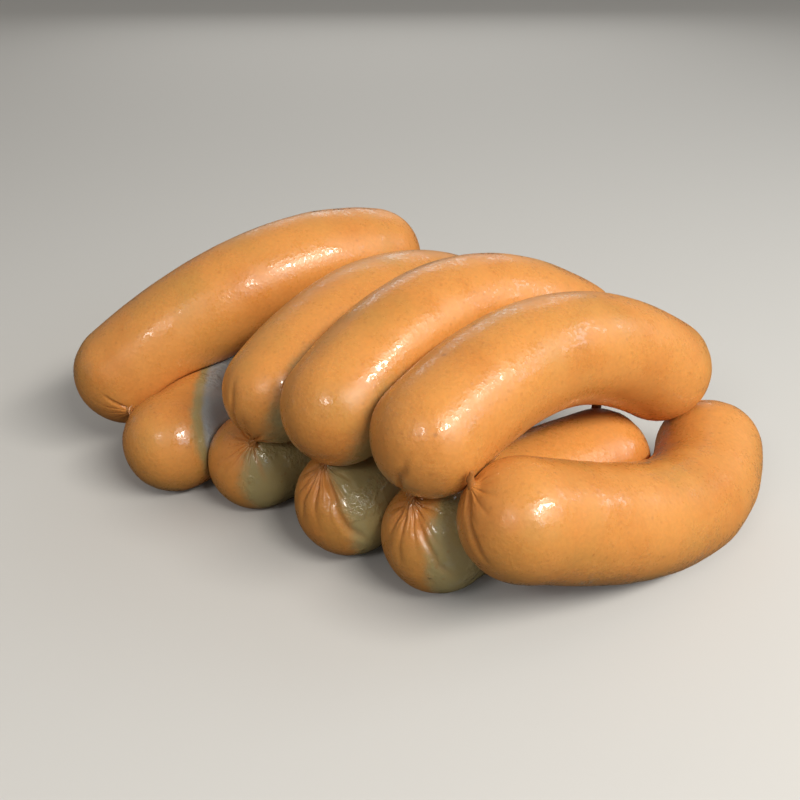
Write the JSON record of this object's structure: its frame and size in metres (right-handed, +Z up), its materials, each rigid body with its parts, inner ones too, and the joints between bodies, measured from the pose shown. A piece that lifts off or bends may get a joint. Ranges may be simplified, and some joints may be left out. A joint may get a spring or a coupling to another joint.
{
  "type": "string of sausage links",
  "caption": "Cooked sausage links twisted off in one casing and folded to and fro into a two-layer pile, with pleated ends, short twisted necks and a loose tail at each end.",
  "frame": {"origin": "centre of the pile's bounding box, on the surface it rests on", "axes": "+X along the row of links, from the last link to the first, hooked one; +Y from the front ends to the back ends; +Z up"},
  "size_m": [0.2379, 0.1361, 0.0834],
  "materials": {
    "casing": "wet, smooth smoked casing, golden tan with olive-grey touch marks",
    "twisted_casing": "gathered and twisted casing, a little browner"
  },
  "bodies": {
    "root": {"link_1": "casing", "link_2": "casing", "link_3": "casing", "link_4": "casing", "link_5": "casing", "link_6": "casing", "link_7": "casing", "link_8": "casing", "link_9": "casing", "twist_1": "twisted_casing", "twist_2": "twisted_casing", "twist_3": "twisted_casing", "twist_4": "twisted_casing", "twist_5": "twisted_casing", "twist_6": "twisted_casing", "twist_7": "twisted_casing", "twist_8": "twisted_casing", "tail_first": "twisted_casing", "tail_last": "twisted_casing"}
  },
  "joints": []
}
